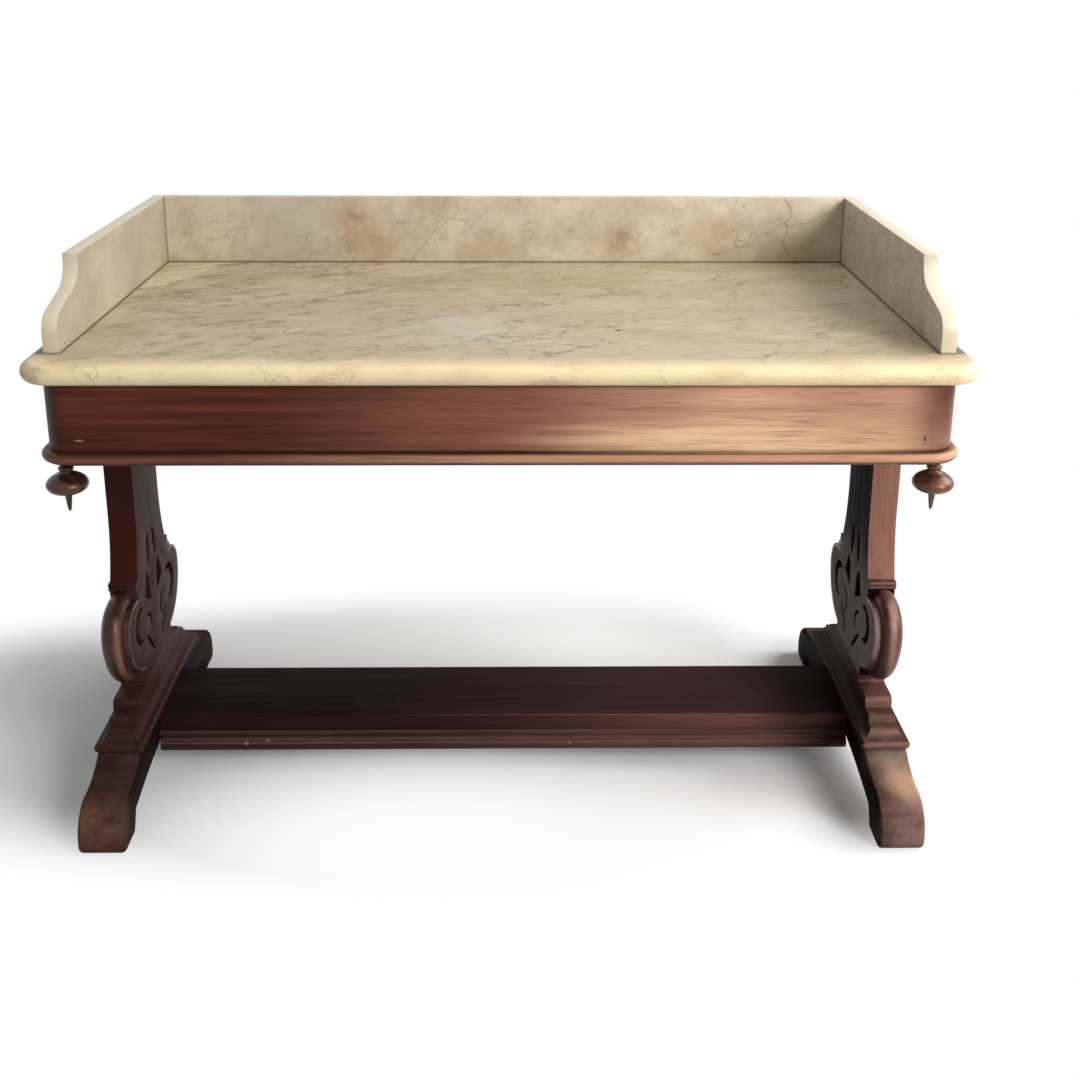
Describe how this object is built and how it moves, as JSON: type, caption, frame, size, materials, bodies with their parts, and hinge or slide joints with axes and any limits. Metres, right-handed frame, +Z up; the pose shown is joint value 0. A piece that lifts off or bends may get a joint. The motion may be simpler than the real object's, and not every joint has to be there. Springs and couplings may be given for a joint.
{
  "type": "washstand with marble top",
  "caption": "Mahogany washstand with a bullnosed marble slab and marble upstands, on pierced lyre-shaped trestle ends joined by a low moulded shelf.",
  "frame": {"origin": "floor level, under the middle of the marble slab and the middle of the overall box", "axes": "+X to the user's right along the length, -Y out of the front, +Z up"},
  "size_m": [1.214, 0.648, 0.824],
  "materials": {
    "marble": "aged polish",
    "mahogany": "worn wax polish",
    "dark_mahogany": "worn wax polish",
    "pine": "unfinished",
    "iron": "dull"
  },
  "bodies": {
    "root": {"marble_slab": "marble", "back_splash": "marble", "left_splash": "marble", "right_splash": "marble", "splash_pins": "iron", "front_rail": "mahogany", "back_rail": "mahogany", "left_rail": "mahogany", "right_rail": "mahogany", "left_corner_block": "mahogany", "right_corner_block": "mahogany", "front_bead": "mahogany", "left_bead": "mahogany", "right_bead": "mahogany", "left_corner_bead": "mahogany", "right_corner_bead": "mahogany", "left_bearer": "pine", "right_bearer": "pine", "centre_bearer": "pine", "glue_blocks": "pine", "bearer_screws": "iron", "left_pendant": "mahogany", "right_pendant": "mahogany", "left_panel": "dark_mahogany", "right_panel": "dark_mahogany", "left_front_roll": "mahogany", "left_rear_roll": "mahogany", "right_front_roll": "mahogany", "right_rear_roll": "mahogany", "left_front_collar": "dark_mahogany", "left_rear_collar": "dark_mahogany", "right_front_collar": "dark_mahogany", "right_rear_collar": "dark_mahogany", "left_pedestal": "dark_mahogany", "right_pedestal": "dark_mahogany", "left_plinth": "dark_mahogany", "right_plinth": "dark_mahogany", "left_foot": "dark_mahogany", "right_foot": "dark_mahogany", "base_dowels": "pine", "shelf_board": "dark_mahogany", "shelf_front_moulding": "dark_mahogany", "shelf_rear_moulding": "dark_mahogany", "left_cleat": "pine", "right_cleat": "pine", "cleat_screws": "iron"}
  },
  "joints": []
}
